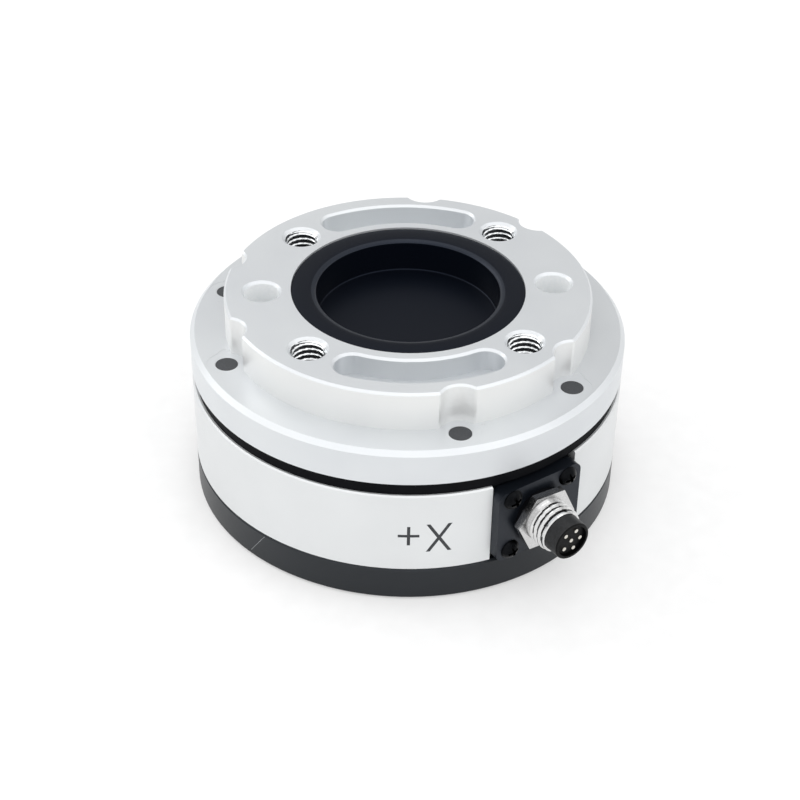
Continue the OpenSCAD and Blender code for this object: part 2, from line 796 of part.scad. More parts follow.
module board_screws() {
    color("#9a9da1")
    for (a = standoff_angles)
        at_polar(standoff_r, a)
            translate([0, 0, board_top])
                pan_screw(board_screw_r, small_head_r, pan_head_h, board_t + standoff_h - 2 * tip_gap);
}

// Upright board that the contacts' tails are soldered into
module adapter_board() {
    color("#1f6b3d")
    difference() {
        rotate([0, 0, connector_angle])
            translate([adapter_back, -adapter_w / 2, board_top]) cube([adapter_t, adapter_w, adapter_h]);
        for (p = contact_places)
            facing_out(adapter_back - cut)
                translate([p[0], p[1], 0])
                    cylinder(d = contact_d + 2 * thread_gap, h = adapter_t + 2 * cut, $fn = 32);
    }
}

// Angled strip that joins the upright board to the ring-shaped one
module board_header() {
    color("#2a2a2c")
    rotate([0, 0, connector_angle])
        translate([adapter_back - header_t, -adapter_w / 2 + header_inset, board_top])
            cube([header_t, adapter_w - 2 * header_inset, header_h]);
}

// Rounded outline shared by the plate and its gasket
module plate_outline(w, h) {
    x = w / 2 - plate_corner;
    y = h / 2 - plate_corner;
    square([w, 2 * y], center = true);
    square([2 * x, h], center = true);
    for (sx = [-1, 1], sy = [-1, 1]) translate([sx * x, sy * y]) circle(r = plate_corner);
}

module plate_screw_holes(dist, r, h) {
    for (sx = [-1, 1], sy = [-1, 1])
        facing_out(dist)
            translate([sx * plate_screw_x / 2, sy * plate_screw_z / 2, 0]) cylinder(r = r, h = h);
}

// Flat piece behind the plate's front, with the barrel's hole and the four screw holes
module plate_layer(dist, t, w, h, hole_d) {
    difference() {
        facing_out(dist) linear_extrude(height = t) plate_outline(w, h);
        facing_out(dist - cut) cylinder(d = hole_d, h = t + 2 * cut);
        plate_screw_holes(dist - cut, small_r + shank_gap, t + 2 * cut);
    }
}

module plate_gasket() {
    color("#0f1011")
    plate_layer(block_face, gasket_t, block_w, plate_h - 0.6, collar_d + 2 * seat_gap);
}

module connector_plate() {
    color("#26282b")
    plate_layer(gasket_face, plate_t, plate_w, plate_h, barrel_d + 2 * seat_gap);
}

module plate_screws() {
    color("#18191b")
    for (sx = [-1, 1], sy = [-1, 1])
        facing_out(plate_face)
            translate([sx * plate_screw_x / 2, sy * plate_screw_z / 2, 0])
                rotate([0, 0, 20])
                    pan_screw(small_r, small_head_r, pan_head_h, plate_t + gasket_t + plate_screw_reach);
}

// Nickel-plated barrel with a collar that the plate clamps against the block, and a thread
// relief where the panel nut ends
module connector_shell() {
    chamfer = 0.3;
    color("#c9c9c4")
    difference() {
        union() {
            facing_out(block_back) cylinder(d = barrel_d, h = barrel_end - block_back - chamfer);
            facing_out(barrel_end - chamfer)
                cylinder(d1 = barrel_d, d2 = barrel_d - 2 * chamfer, h = chamfer);
            facing_out(collar_back) cylinder(d = collar_d, h = gasket_face - collar_back);
        }
        facing_out(block_back - cut)
            cylinder(d = carrier_d + 2 * seat_gap, h = barrel_end - block_back + 2 * cut);
        facing_out(nut_front) ring(barrel_d / 2 + cut, barrel_d / 2 - relief_depth, relief_w);
    }
}

module panel_washer() {
    color("#141516")
    difference() {
        facing_out(plate_face) cylinder(d = washer_d, h = washer_t);
        facing_out(plate_face - cut) cylinder(d = barrel_d + 2 * seat_gap, h = washer_t + 2 * cut);
    }
}

module panel_nut() {
    bevel = 0.25;
    corner_d = nut_af / cos(30);
    color("#d2d2cd")
    difference() {
        facing_out(washer_front)
            intersection() {
                rotate([0, 0, nut_turn]) cylinder(d = corner_d, h = nut_t, $fn = 6);
                union() {
                    cylinder(d = corner_d + cut, h = nut_t - bevel);
                    translate([0, 0, nut_t - bevel])
                        cylinder(d1 = corner_d, d2 = corner_d - 3 * bevel, h = bevel);
                }
            }
        facing_out(washer_front - cut)
            cylinder(d = barrel_d + 2 * thread_gap, h = nut_t + 2 * cut);
    }
}

module contact_carrier() {
    color("#1b1c1e")
    difference() {
        facing_out(block_back) cylinder(d = carrier_d, h = carrier_end - block_back);
        facing_out(carrier_end - face_depth)
            cylinder(d = carrier_d - 2 * face_wall, h = face_depth + cut);
        for (p = contact_places)
            facing_out(block_back - cut)
                translate([p[0], p[1], 0])
                    cylinder(d = contact_d + 2 * thread_gap, h = carrier_end - block_back + cut, $fn = 32);
    }
}

module contact_pins() {
    color("#e3e0d8")
    for (p = contact_places)
        facing_out(contact_back)
            translate([p[0], p[1], 0])
                cylinder(d = contact_d, h = contact_end - contact_back, $fn = 32);
}

tool_flange();
hole_plugs();
flange_screws();
pilot_cup();
cup_seal();
seal_band();
housing_ring();
base_flange();
sensing_element();
strain_gauges();
gauge_leads();
hub_screws();
hub_dowels();
circuit_board();
board_chips();
board_standoffs();
board_screws();
adapter_board();
board_header();
plate_gasket();
connector_plate();
plate_screws();
connector_shell();
panel_washer();
panel_nut();
contact_carrier();
contact_pins();
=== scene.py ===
import json
import math

import bmesh
import bpy
from mathutils import Matrix, Vector


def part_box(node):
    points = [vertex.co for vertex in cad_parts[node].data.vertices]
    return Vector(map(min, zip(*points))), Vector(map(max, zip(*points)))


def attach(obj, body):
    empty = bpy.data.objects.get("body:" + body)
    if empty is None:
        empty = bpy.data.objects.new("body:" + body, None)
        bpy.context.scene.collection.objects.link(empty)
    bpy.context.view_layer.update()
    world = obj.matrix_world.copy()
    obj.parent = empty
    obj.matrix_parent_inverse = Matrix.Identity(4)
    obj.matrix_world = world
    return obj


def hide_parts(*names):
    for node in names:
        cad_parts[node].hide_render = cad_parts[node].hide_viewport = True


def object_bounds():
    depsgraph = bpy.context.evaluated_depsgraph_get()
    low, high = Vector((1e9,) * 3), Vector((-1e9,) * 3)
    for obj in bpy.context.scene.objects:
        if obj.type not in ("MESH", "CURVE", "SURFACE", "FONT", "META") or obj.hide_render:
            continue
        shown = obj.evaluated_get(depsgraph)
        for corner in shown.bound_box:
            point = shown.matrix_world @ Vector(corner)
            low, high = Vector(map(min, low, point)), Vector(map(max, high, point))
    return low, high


# Six-axis force torque sensor: a bead-blasted tool flange, a black pilot cup, a soft seal band,
# a silver housing, a dark base and a round threaded connector on a black plate.
# The frame holds every piece at its real size, and this script gives the pieces their finish and
# adds the screw threads, the axis mark, the smooth cup and the camera, lights and floor.

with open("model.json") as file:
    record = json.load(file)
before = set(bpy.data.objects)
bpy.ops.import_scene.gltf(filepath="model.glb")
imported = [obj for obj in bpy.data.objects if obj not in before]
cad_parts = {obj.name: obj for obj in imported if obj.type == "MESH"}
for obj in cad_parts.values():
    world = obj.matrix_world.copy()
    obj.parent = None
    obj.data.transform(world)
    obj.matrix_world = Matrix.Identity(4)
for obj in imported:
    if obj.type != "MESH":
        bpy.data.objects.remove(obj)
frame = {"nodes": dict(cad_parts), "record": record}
cad_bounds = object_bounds()

MM = 0.001
MOUNTS = {mount["name"]: mount for mount in frame["record"]["mounts"]}


# ------------------------------------------------------------------ places taken from the frame

def reach(node, direction):
    """Lowest and highest distance of a CAD node's points along a direction, in metres."""
    distances = [vertex.co.dot(direction) for vertex in frame["nodes"][node].data.vertices]
    return min(distances), max(distances)


def radius_at(node, level):
    """Largest distance from the sensor's axis of a CAD node's points at a height, in metres."""
    return max(vertex.co.xy.length for vertex in frame["nodes"][node].data.vertices
               if abs(vertex.co.z - level) < 0.01 * MM)


UP = Vector((0, 0, 1))
OUTWARD = Vector(MOUNTS["connector_thread"]["axis"]).normalized()
SIDEWAYS = UP.cross(OUTWARD)

tool_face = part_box("tool_flange")[1].z
body_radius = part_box("tool_flange")[1].x
connector_height = MOUNTS["connector_thread"]["pos_m"][2]


def connector_place():
    """Matrix whose z axis points out along the connector, from the sensor's own axis."""
    place = Matrix((SIDEWAYS, UP, OUTWARD)).transposed().to_4x4()
    place.translation = UP * connector_height
    return place


# ------------------------------------------------------------------ node materials

def from_hex(code):
    """An sRGB hex colour as linear RGBA."""
    def linear(value):
        value = value / 255
        return value / 12.92 if value <= 0.04045 else ((value + 0.055) / 1.055) ** 2.4
    return tuple(linear(int(code[i:i + 2], 16)) for i in (1, 3, 5)) + (1.0,)


def add(tree, kind, values=None, links=None, **settings):
    """Adds one node: settings are its own options, values fill sockets and links feed them."""
    made = tree.nodes.new(kind)
    for option, value in settings.items():
        setattr(made, option, value)
    for socket, value in (values or {}).items():
        made.inputs[socket].default_value = value
    for socket, source in (links or {}).items():
        tree.links.new(source, made.inputs[socket])
    return made


def material(name, values):
    """A material with one Principled shader: returns it, its tree, the shader and a mm ruler."""
    made = bpy.data.materials.new(name)
    made.use_nodes = True
    tree = made.node_tree
    tree.nodes.clear()
    shader = add(tree, "ShaderNodeBsdfPrincipled", values)
    add(tree, "ShaderNodeOutputMaterial", links={"Surface": shader.outputs["BSDF"]})
    # The ruler gives object coordinates in millimetres, so a pattern's Scale is 1 / its size
    where = add(tree, "ShaderNodeTexCoord")
    ruler = add(tree, "ShaderNodeVectorMath", {1: (1 / MM, 1 / MM, 1 / MM)},
                {0: where.outputs["Object"]}, operation="MULTIPLY")
    return made, tree, shader, ruler.outputs["Vector"]


# Part of a pattern's range over which its colour changes: noise seldom leaves it
TINT_START = 0.3
TINT_END = 0.7


def tint(tree, shader, pattern, low, high):
    """Lets a pattern move the surface's colour between two close shades."""
    ramp = add(tree, "ShaderNodeValToRGB", links={"Fac": pattern})
    ramp.color_ramp.elements[0].position = TINT_START
    ramp.color_ramp.elements[1].position = TINT_END
    ramp.color_ramp.elements[0].color = from_hex(low)
    ramp.color_ramp.elements[1].color = from_hex(high)
    tree.links.new(ramp.outputs["Color"], shader.inputs["Base Color"])


def gloss(tree, shader, pattern, low, high):
    """Lets a pattern move the roughness between two values."""
    spread = add(tree, "ShaderNodeMapRange", {"To Min": low, "To Max": high}, {"Value": pattern})
    tree.links.new(spread.outputs["Result"], shader.inputs["Roughness"])


def relief(tree, shader, pattern, depth_mm):
    """Raises a pattern as a bump of a real depth."""
    bump = add(tree, "ShaderNodeBump", {"Strength": 1.0, "Distance": depth_mm * MM},
               {"Height": pattern})
    tree.links.new(bump.outputs["Normal"], shader.inputs["Normal"])


def bead_blasted_aluminium():
    """Milled, then bead blasted and clear anodised: a pale, even, silky silver. The anodic film
    scatters part of the light, so the surface is only partly metallic."""
    made, tree, shader, ruler = material("bead_blasted_clear_anodised_aluminium",
                                         {"Metallic": 0.55, "IOR": 1.5})
    # Blast dimples are about 0.05 mm; drawn at 0.3 mm, because finer ones vanish at this distance
    dimples = add(tree, "ShaderNodeTexNoise", {"Scale": 1 / 0.3, "Detail": 3.0}, {"Vector": ruler})
    # Anodising tone drifts over some 15 mm
    drift = add(tree, "ShaderNodeTexNoise", {"Scale": 1 / 15, "Detail": 2.0}, {"Vector": ruler})
    tint(tree, shader, drift.outputs["Fac"], "#d3d6d9", "#d9dcde")
    gloss(tree, shader, dimples.outputs["Fac"], 0.34, 0.46)
    relief(tree, shader, dimples.outputs["Fac"], 0.004)
    return made


def pin_bore_painted_light():
    """Pin hole wall with fine streaks; its near-white colour is painted light, lifting the shade
    inside the hole.
    """
    made, tree, shader, ruler = material("pin_bore_with_painted_light", {"Metallic": 0.3, "IOR": 1.5})
    streaks = add(tree, "ShaderNodeTexNoise", {"Scale": 1 / 0.4, "Detail": 2.0}, {"Vector": ruler})
    tint(tree, shader, streaks.outputs["Fac"], "#f4f6f7", "#fafbfb")
    gloss(tree, shader, streaks.outputs["Fac"], 0.3, 0.4)
    relief(tree, shader, streaks.outputs["Fac"], 0.002)
    return made


def boss_wall_painted_light():
    """Side of the boss, with fine turned lines; its tone, lighter than the face's, is painted light
    on the upright wall.
    """
    made, tree, shader, ruler = material("boss_wall_with_painted_light",
                                         {"Metallic": 0.5, "IOR": 1.5})
    lines = add(tree, "ShaderNodeTexWave", {"Scale": 1 / 0.3, "Distortion": 1.5, "Detail": 2.0},
                {"Vector": ruler}, wave_type="BANDS", bands_direction="Z")
    drift = add(tree, "ShaderNodeTexNoise", {"Scale": 1 / 15, "Detail": 2.0}, {"Vector": ruler})
    tint(tree, shader, drift.outputs["Fac"], "#e0e1e1", "#e5e6e5")
    gloss(tree, shader, lines.outputs["Fac"], 0.34, 0.44)
    relief(tree, shader, lines.outputs["Fac"], 0.0008)
    return made


def satin_aluminium():
    """Turned tube, satin finished and clear anodised: fine lines round it, drawn 0.35 mm apart."""
    made, tree, shader, ruler = material("satin_turned_anodised_aluminium",
                                         {"Metallic": 0.5, "IOR": 1.5})
    lines = add(tree, "ShaderNodeTexWave", {"Scale": 1 / 0.35, "Distortion": 1.5, "Detail": 2.0},
                {"Vector": ruler}, wave_type="BANDS", bands_direction="Z")
    drift = add(tree, "ShaderNodeTexNoise", {"Scale": 1 / 20, "Detail": 2.0}, {"Vector": ruler})
    tint(tree, shader, drift.outputs["Fac"], "#d7d9da", "#dddfe0")
    gloss(tree, shader, lines.outputs["Fac"], 0.37, 0.42)
    relief(tree, shader, lines.outputs["Fac"], 0.0008)
    return made


def dark_anodised_aluminium():
    """Turned and anodised dark grey: satin, with a soft sheen along the edge of sight."""
    made, tree, shader, ruler = material("dark_grey_anodised_aluminium",
                                         {"IOR": 1.5, "Specular IOR Level": 0.4,
                                          "Specular Tint": from_hex("#ecf0f7")})
    grain = add(tree, "ShaderNodeTexNoise", {"Scale": 1 / 0.4, "Detail": 3.0}, {"Vector": ruler})
    drift = add(tree, "ShaderNodeTexNoise", {"Scale": 1 / 18, "Detail": 2.0}, {"Vector": ruler})
    tint(tree, shader, drift.outputs["Fac"], "#0f1215", "#15191d")
    gloss(tree, shader, grain.outputs["Fac"], 0.33, 0.43)
    relief(tree, shader, grain.outputs["Fac"], 0.003)
    return made


def milled_aluminium():
    """Fine milled alloy left bare: cutter marks run in close arcs, drawn 0.5 mm apart."""
    made, tree, shader, ruler = material("fine_milled_aluminium", {"Metallic": 1.0})
    marks = add(tree, "ShaderNodeTexWave", {"Scale": 1 / 0.5, "Distortion": 2.0, "Detail": 2.0},
                {"Vector": ruler}, wave_type="RINGS", rings_direction="Z")
    tint(tree, shader, marks.outputs["Fac"], "#c9ccce", "#d6d8da")
    gloss(tree, shader, marks.outputs["Fac"], 0.28, 0.38)
    relief(tree, shader, marks.outputs["Fac"], 0.002)
    return made


def bright_thread():
    """Thread turns cut after blasting: bare, burnished metal that mirrors light and dark."""
    made, tree, shader, ruler = material("bright_cut_aluminium_thread", {"Metallic": 1.0})
    drag = add(tree, "ShaderNodeTexNoise", {"Scale": 1 / 0.3, "Detail": 3.0}, {"Vector": ruler})
    tint(tree, shader, drag.outputs["Fac"], "#dfe2e4", "#ebedee")
    gloss(tree, shader, drag.outputs["Fac"], 0.16, 0.28)
    relief(tree, shader, drag.outputs["Fac"], 0.003)
    return made


def shaded_thread_root(name, low, high):
    """Bottom of a thread's groove: a dark, mottled colour that is painted shade in the groove."""
    made, tree, shader, ruler = material(name, {"Metallic": 0.7, "IOR": 1.5})
    mottle = add(tree, "ShaderNodeTexNoise", {"Scale": 1 / 0.5, "Detail": 3.0}, {"Vector": ruler})
    tint(tree, shader, mottle.outputs["Fac"], low, high)
    gloss(tree, shader, mottle.outputs["Fac"], 0.4, 0.6)
    relief(tree, shader, mottle.outputs["Fac"], 0.004)
    return made


def moulded_black(name, low, high, roughness, grain_mm=0.25, sheen=0.5, cast="#ffffff"):
    """Black engineering plastic with the fine grain of its mould; cast tints its sheen."""
    made, tree, shader, ruler = material(name, {"IOR": 1.5, "Specular IOR Level": sheen,
                                                "Specular Tint": from_hex(cast)})
    grain = add(tree, "ShaderNodeTexNoise", {"Scale": 1 / grain_mm, "Detail": 3.0},
                {"Vector": ruler})
    tint(tree, shader, grain.outputs["Fac"], low, high)
    gloss(tree, shader, grain.outputs["Fac"], roughness - 0.05, roughness + 0.05)
    relief(tree, shader, grain.outputs["Fac"], 0.004)
    return made


def soft_rubber():
    """Black moulded elastomer: matt, with a faint bloom."""
    made, tree, shader, ruler = material("matt_black_elastomer",
                                         {"IOR": 1.5, "Specular IOR Level": 0.05})
    bloom = add(tree, "ShaderNodeTexNoise", {"Scale": 1 / 3, "Detail": 4.0}, {"Vector": ruler})
    skin = add(tree, "ShaderNodeTexNoise", {"Scale": 1 / 0.3, "Detail": 2.0}, {"Vector": ruler})
    tint(tree, shader, bloom.outputs["Fac"], "#090a0d", "#0e0f12")
    gloss(tree, shader, skin.outputs["Fac"], 0.5, 0.65)
    relief(tree, shader, skin.outputs["Fac"], 0.004)
    return made


def nickel_plate(name, low, high, rough_low, rough_high):
    """Brass turned and plated with nickel: the smoother, the sharper its light and dark streaks."""
    made, tree, shader, ruler = material(name, {"Metallic": 1.0})
    # Turning marks under the plating, drawn 0.25 mm apart
    marks = add(tree, "ShaderNodeTexNoise", {"Scale": 1 / 0.25, "Detail": 3.0}, {"Vector": ruler})
    tint(tree, shader, marks.outputs["Fac"], low, high)
    gloss(tree, shader, marks.outputs["Fac"], rough_low, rough_high)
    relief(tree, shader, marks.outputs["Fac"], 0.002)
    return made


def plated_steel(name, low, high, rough_low, rough_high):
    """Screw steel with a thin finish: faint blotches from the bath, about 1 mm wide."""
    made, tree, shader, ruler = material(name, {"Metallic": 1.0})
    blotches = add(tree, "ShaderNodeTexNoise", {"Scale": 1.0, "Detail": 4.0}, {"Vector": ruler})
    tint(tree, shader, blotches.outputs["Fac"], low, high)
    gloss(tree, shader, blotches.outputs["Fac"], rough_low, rough_high)
    relief(tree, shader, blotches.outputs["Fac"], 0.002)
    return made


def solder_mask():
    """Glass-fibre board under green lacquer: the weave shows faintly, 0.5 mm apart."""
    made, tree, shader, ruler = material("green_solder_mask", {"Roughness": 0.3, "IOR": 1.5})
    weave = add(tree, "ShaderNodeTexVoronoi", {"Scale": 1 / 0.5}, {"Vector": ruler},
                distance="CHEBYCHEV")
    tint(tree, shader, weave.outputs["Distance"], "#14522c", "#1c6b3b")
    gloss(tree, shader, weave.outputs["Distance"], 0.25, 0.35)
    relief(tree, shader, weave.outputs["Distance"], 0.003)
    return made


def polyimide_film():
    """Amber gauge film: glossy, with the 0.2 mm lines of its foil grid."""
    made, tree, shader, ruler = material("amber_polyimide_film", {"Roughness": 0.25, "IOR": 1.6})
    grid = add(tree, "ShaderNodeTexWave", {"Scale": 1 / 0.4}, {"Vector": ruler},
               wave_type="BANDS", bands_direction="Z")
    tint(tree, shader, grid.outputs["Fac"], "#b5742a", "#cf9547")
    gloss(tree, shader, grid.outputs["Fac"], 0.2, 0.3)
    relief(tree, shader, grid.outputs["Fac"], 0.002)
    return made


def marking_ink():
    """Laser-darkened marking: dull grey, a little uneven where the beam's lines overlap."""
    made, tree, shader, ruler = material("dark_grey_marking", {"Roughness": 0.6, "IOR": 1.45})
    lines = add(tree, "ShaderNodeTexNoise", {"Scale": 1 / 0.3, "Detail": 2.0}, {"Vector": ruler})
    tint(tree, shader, lines.outputs["Fac"], "#2c2e31", "#383a3d")
    gloss(tree, shader, lines.outputs["Fac"], 0.5, 0.7)
    return made


def studio_floor():
    """Seamless white paper, lit until it is almost free of shadow."""
    made, tree, shader, ruler = material("white_paper_sweep", {"Roughness": 0.9})
    pulp = add(tree, "ShaderNodeTexNoise", {"Scale": 1 / 4, "Detail": 3.0}, {"Vector": ruler})
    tint(tree, shader, pulp.outputs["Fac"], "#bdbdbd", "#c1c1c1")
    shader.inputs["Emission Color"].default_value = (1, 1, 1, 1)
    shader.inputs["Emission Strength"].default_value = 0.39
    return made


FINISHES = {
    "flange_aluminium": bead_blasted_aluminium(),
    "housing_silver": satin_aluminium(),
    "base_dark": dark_anodised_aluminium(),
    "element_aluminium": milled_aluminium(),
    "cup_black": moulded_black("satin_black_acetal", "#05080e", "#080b13", 0.32,
                               sheen=0.2, cast="#bccdf4"),
    "plug_grey": moulded_black("matt_grey_nylon", "#383a3d", "#424447", 0.6, sheen=0.4),
    "rubber_black": soft_rubber(),
    "plate_black": moulded_black("satin_black_die_cast_lacquer", "#0a0d12", "#11151b", 0.38, 0.35,
                                 sheen=0.4, cast="#dde6f8"),
    "steel": plated_steel("zinc_plated_steel", "#a9abad", "#bdbfc1", 0.25, 0.4),
    "steel_black": plated_steel("black_oxide_steel", "#0e0f11", "#18191b", 0.3, 0.42),
    "nickel": nickel_plate("bright_nickel_plated_brass", "#d4d4d4", "#e0e0e0", 0.06, 0.12),
    "carrier_black": moulded_black("black_glass_filled_nylon", "#040506", "#1b1c1f", 0.45, 0.45,
                                   sheen=0.4),
    "contact_gold": plated_steel("pale_flash_gold_contact", "#cfcbc2", "#dedbd3", 0.14, 0.24),
    "gauge_film": polyimide_film(),
    "board_green": solder_mask(),
    "chip_black": moulded_black("moulded_epoxy_chip", "#1a1b1d", "#222326", 0.55),
    "brass": plated_steel("turned_brass", "#c2a055", "#d3b369", 0.2, 0.3),
}

# Faces that meet at more than this keep a crisp edge, and points closer than this are one
CREASE = math.radians(22)
SEAM_GAP = 0.0005 * MM

for part in frame["record"]["subparts"]:
    solid = frame["nodes"][part["node"]]
    solid.data.materials.clear()
    solid.data.materials.append(FINISHES[part["material_slot"]])
    # Shading only: chamfers stay crisp and round walls smooth, and no point moves
    if "custom_normal" in solid.data.attributes:
        solid.data.attributes.remove(solid.data.attributes["custom_normal"])
    solid.data.polygons.foreach_set("use_smooth", [True] * len(solid.data.polygons))
    seams = solid.modifiers.new("join_seams", "WELD")
    seams.merge_threshold = SEAM_GAP
    creases = solid.modifiers.new("crisp_edges", "EDGE_SPLIT")
    creases.split_angle = CREASE


def second_finish(node, finish, belongs):
    """Gives a CAD node's faces another finish where a test on their middle (mm) and normal says."""
    mesh = frame["nodes"][node].data
    mesh.materials.append(finish)
    for polygon in mesh.polygons:
        if belongs(polygon.center / MM, polygon.normal):
            polygon.material_index = len(mesh.materials) - 1


def within(point, mount, spare):
    """Whether a point lies inside a mount's hole, give or take some mm."""
    axis = Vector(mount["pos_m"]).xy / MM
    return (point.xy - axis).length < mount["dims"]["r_mm"] + spare


def upright(normal):
    """Whether a face stands upright, as a wall does."""
    return abs(normal.z) < 0.1


# Painted light: the walls of the two pin holes and the boss's side get lighter copies of the
# flange's finish. The boss's side lies outside the two pockets on the hole circle and inside the
# flange's rim.
HOLE_CIRCLE_R = MOUNTS["tool_pin_a"]["pos_m"][1] / MM
PIN_HOLE_SPARE = 0.1
PAST_POCKETS = 3.3
INSIDE_RIM = 4
second_finish("tool_flange", pin_bore_painted_light(),
              lambda point, normal: upright(normal)
              and any(within(point, MOUNTS[name], PIN_HOLE_SPARE)
                      for name in ("tool_pin_a", "tool_pin_b")))
second_finish("tool_flange", boss_wall_painted_light(),
              lambda point, normal: upright(normal)
              and HOLE_CIRCLE_R + PAST_POCKETS < point.xy.length < body_radius / MM - INSIDE_RIM)
frame["nodes"]["panel_nut"].data.materials[0] = nickel_plate(
    "satin_nickel_plated_nut", "#cccccc", "#dadada", 0.16, 0.26)


# ------------------------------------------------------------------ pieces made in mesh code

SHARP_EDGE = math.radians(30)


def finish_piece(name, mesh, slot, replaced=(), finishes=None):
    """Puts a mesh in the scene as a piece of the sensor, with its finish or finishes."""
    shape = bmesh.new()
    shape.from_mesh(mesh)
    bmesh.ops.recalc_face_normals(shape, faces=shape.faces)
    shape.to_mesh(mesh)
    shape.free()
    mesh.polygons.foreach_set("use_smooth", [True] * len(mesh.polygons))
    mesh.set_sharp_from_angle(angle=SHARP_EDGE)
    for finish in finishes or [FINISHES[slot]]:
        mesh.materials.append(finish)
    piece = bpy.data.objects.new(name, mesh)
    bpy.context.scene.collection.objects.link(piece)
    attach(piece, "root")
    if replaced:
        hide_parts(*replaced)
    return piece


def rings_to_mesh(name, rings, closed):
    """Skins rings of points; closed joins the last ring to the first, else the ends are capped."""
    count = len(rings[0])
    points = [point for ring in rings for point in ring]
    faces = []
    last = len(rings) if closed else len(rings) - 1
    for row in range(last):
        a = row * count
        b = (row + 1) % len(rings) * count
        for i in range(count):
            j = (i + 1) % count
            faces.append((a + i, a + j, b + j, b + i))
    if not closed:
        faces.append(tuple(reversed(range(count))))
        faces.append(tuple(range((len(rings) - 1) * count, len(rings) * count)))
    mesh = bpy.data.meshes.new(name)
    mesh.from_pydata(points, [], faces)
    mesh.validate()
    return mesh


def turned_rings(profile, columns, place):
    """Rings of a turned shape. A profile point is (height, radius), or a radius that is a
    function of the angle where a thread runs round. Sizes are in millimetres."""
    rings = []
    for height, radius in profile:
        ring = []
        for i in range(columns):
            angle = 2 * math.pi * i / columns
            r = radius(angle) if callable(radius) else radius
            local = Vector((r * math.cos(angle), r * math.sin(angle), height)) * MM
            ring.append(place @ local)
        rings.append(ring)
    return rings


def arc(height, radius, rise, spread, start, end, steps=6):
    """Profile points round part of an ellipse; 0 degrees points outward and 90 up."""
    points = []
    for i in range(steps + 1):
        angle = math.radians(start + (end - start) * i / steps)
        points.append((height + rise * math.sin(angle), radius + spread * math.cos(angle)))
    return points


def merged(name, parts):
    """One mesh from several, which keeps the finish number of each face."""
    points, faces, numbers = [], [], []
    for part in parts:
        start = len(points)
        points += [vertex.co[:] for vertex in part.vertices]
        faces += [tuple(start + v for v in polygon.vertices) for polygon in part.polygons]
        numbers += [polygon.material_index for polygon in part.polygons]
        bpy.data.meshes.remove(part)
    mesh = bpy.data.meshes.new(name)
    mesh.from_pydata(points, [], faces)
    mesh.polygons.foreach_set("material_index", numbers)
    return mesh


def mark_faces(mesh, place, belongs):
    """Gives the second finish to the faces that a test on their height and radius picks."""
    back = place.inverted()
    for polygon in mesh.polygons:
        local = back @ polygon.center / MM
        if belongs(local.z, local.xy.length):
            polygon.material_index = 1


# The flat at a thread's root and the flank above it, as shares of half a pitch
THREAD_FLAT = 0.12
THREAD_FLANK = 0.72


def thread_wave(height, angle, pitch):
    """0 at a thread's root and 1 at its crest, with short flats and 60 degree flanks."""
    phase = (height / pitch - angle / (2 * math.pi)) % 1.0
    ramp = 1 - abs(2 * phase - 1)
    return min(max((ramp - THREAD_FLAT) / THREAD_FLANK, 0.0), 1.0)


M6_PITCH = 1.0
M6_CREST_R = 2.5
TURN_STEPS = 16
# The turns stay this far inside the hole's own wall, and their hidden back lies this far behind it
ROOT_CLEARANCE = 0.02
BACK_SINK = 0.03
# Share of the thread's height, measured from its crest, beyond which a face takes the root's painted
# shade
SHADED_ROOT_FROM = 0.38
# Length below the countersink that keeps the bright finish, free of the root's painted shade
BRIGHT_MOUTH = 0.25


def tapped_thread(name, mount, mouth_d, depth, runout, slot, finishes):
    """Thread turns inside the four holes of a bolt pattern, from the countersink down."""
    wall_r = mount["dims"]["hole_r_mm"]
    mouth = mouth_d / 2 - wall_r
    half = mount["dims"]["spacing_x_mm"] / 2

    def bore(height):
        """Radius round the bore at a height below the face: countersink cone or thread."""
        cone = wall_r - (height - mouth)
        plain_r = wall_r - ROOT_CLEARANCE
        threaded = height < depth - runout

        def radius(angle):
            wave = thread_wave(height, angle, M6_PITCH)
            turn_r = M6_CREST_R + (plain_r - M6_CREST_R) * (1 - wave)
            return max(cone, turn_r if threaded else plain_r)
        return radius

    steps = int((depth - mouth) / M6_PITCH * TURN_STEPS)
    levels = [mouth + (depth - mouth) * i / steps for i in range(steps + 1)]
    profile = [(-level, bore(level)) for level in levels]
    sunk_r = wall_r + BACK_SINK
    profile += [(-depth, sunk_r), (-mouth, sunk_r)]
    shaded_root_r = M6_CREST_R + SHADED_ROOT_FROM * (wall_r - M6_CREST_R)
    holes = []
    for sx in (-1, 1):
        for sy in (-1, 1):
            place = Matrix.Translation(Vector((sx * half, sy * half, 0)) * MM
                                       + Vector(mount["pos_m"]))
            if mount["axis"][2] < 0:
                place = place @ Matrix.Rotation(math.pi, 4, "X")
            hole = rings_to_mesh(name + "_part", turned_rings(profile, 96, place), True)
            # Painted shade: deep faces of the groove take the darker second finish
            mark_faces(hole, place, lambda height, radius: height < -mouth - BRIGHT_MOUTH
                       and radius > shaded_root_r)
            holes.append(hole)
    return finish_piece(name, merged(name, holes), slot, finishes=finishes)


# Sizes of the holes in the part's source: mouth, depth, and the plain length at the bottom
THREAD_MOUTH_D = 6.9
TOOL_THREAD_DEPTH = 8.5
TOOL_THREAD_RUNOUT = 1.2
BASE_THREAD_DEPTH = 4.4
BASE_THREAD_RUNOUT = 0.6

tapped_thread("tool_side_threads", MOUNTS["tool_bolts"], THREAD_MOUTH_D, TOOL_THREAD_DEPTH,
              TOOL_THREAD_RUNOUT, "flange_aluminium",
              [bright_thread(), shaded_thread_root("aluminium_root_painted_shade", "#232528", "#3e4144")])
tapped_thread("base_side_threads", MOUNTS["base_bolts"], THREAD_MOUTH_D, BASE_THREAD_DEPTH,
              BASE_THREAD_RUNOUT, "base_dark", [FINISHES["base_dark"], FINISHES["base_dark"]])


